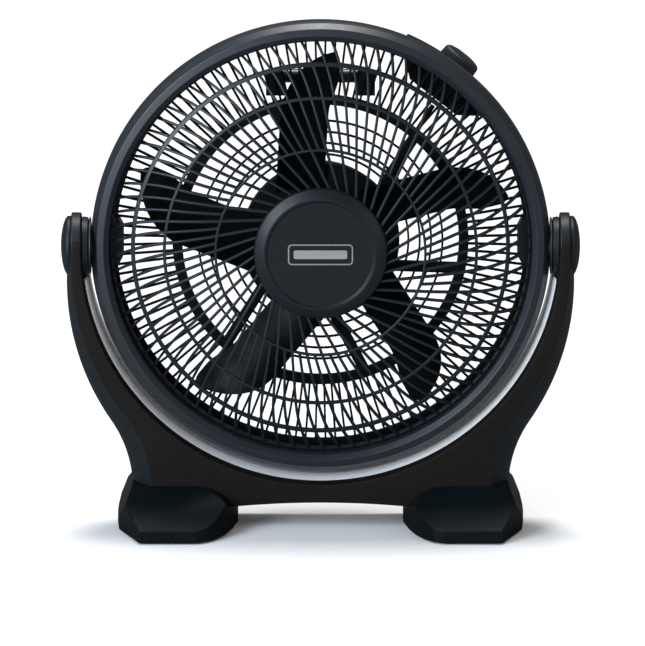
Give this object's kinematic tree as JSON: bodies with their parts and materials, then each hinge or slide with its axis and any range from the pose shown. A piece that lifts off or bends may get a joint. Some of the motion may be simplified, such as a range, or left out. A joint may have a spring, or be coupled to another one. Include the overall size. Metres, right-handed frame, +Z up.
{
  "type": "round floor fan",
  "caption": "Round turbo floor fan: drum-shaped head with domed radial guards tilts in a cradle with two splayed feet; the impeller spins and a speed knob turns",
  "frame": {"origin": "on the floor, under the middle of the tilt axis", "axes": "+Z up, the front of the fan faces -Y, the tilt axis lies along X"},
  "size_m": [0.524, 0.194, 0.519],
  "materials": {
    "cradle_plastic": "fine moulded texture, slightly brown black",
    "foot_plastic": "fine moulded texture, blue black",
    "silver_strip": "bright silver plating on plastic",
    "rubber": "soft black",
    "screw_steel": "zinc plated",
    "nylon": "natural white nylon",
    "head_plastic": "satin moulded black",
    "grille_plastic": "satin moulded blue black",
    "blade_plastic": "smooth moulded black",
    "knob_plastic": "moulded with fine flutes",
    "badge_metal": "brushed plain plate",
    "cast_aluminium": "die cast",
    "stack_steel": "stacked steel sheets",
    "copper_wire": "enamelled copper wire",
    "capacitor_case": "moulded white box",
    "switch_body": "moulded phenolic"
  },
  "bodies": {
    "stand": {"stand_front_shell": "cradle_plastic", "stand_rear_shell": "cradle_plastic", "silver_trim": "silver_strip", "foot_left": "foot_plastic", "foot_right": "foot_plastic", "foot_pads": "rubber", "foot_screws": "screw_steel", "shell_screws": "screw_steel", "pivot_cap_left": "cradle_plastic", "pivot_cap_right": "cradle_plastic", "pivot_bolts": "screw_steel", "pivot_nuts": "screw_steel", "arm_bushes": "nylon", "friction_washers": "screw_steel"},
    "head": {"front_ring": "head_plastic", "front_grille": "grille_plastic", "hub_cap": "head_plastic", "badge_plate": "badge_metal", "drum": "head_plastic", "rear_grille": "grille_plastic", "pivot_boss_left": "head_plastic", "pivot_boss_right": "head_plastic", "ring_screws": "screw_steel", "guard_screws": "screw_steel", "rear_grille_screws": "screw_steel", "motor_front_bell": "cast_aluminium", "motor_rear_bell": "cast_aluminium", "stator_stack": "stack_steel", "stator_windings": "copper_wire", "motor_bearings": "screw_steel", "motor_through_bolts": "screw_steel", "motor_mount_screws": "screw_steel", "rear_motor_cover": "head_plastic", "cover_screws": "screw_steel", "run_capacitor": "capacitor_case", "switch_lead": "rubber", "lead_clips": "head_plastic", "switch_housing": "head_plastic", "rotary_switch": "switch_body", "switch_nut": "screw_steel", "switch_housing_screws": "screw_steel", "carry_handle": "head_plastic", "handle_screws": "screw_steel", "cord_gland": "rubber"},
    "fan_rotor": {"impeller": "blade_plastic", "motor_shaft": "screw_steel", "rotor_core": "stack_steel", "drive_pin": "screw_steel", "spinner_nut": "head_plastic"},
    "knob": {"speed_knob": "knob_plastic"}
  },
  "joints": [
    {"name": "head_tilt", "type": "hinge", "parent": "stand", "child": "head", "pos_m": [0, 0, 0.287], "axis": [-1, 0, 0], "range_deg": [-15, 90]},
    {"name": "impeller_spin", "type": "hinge", "parent": "head", "child": "fan_rotor", "pos_m": [0, 0, 0.287], "axis": [0, 1, 0], "continuous": true},
    {"name": "speed_knob_turn", "type": "hinge", "parent": "head", "child": "knob", "pos_m": [0.12313, 0.052, 0.4446], "axis": [0.6157, 0, 0.788], "range_deg": [0, 135]}
  ]
}
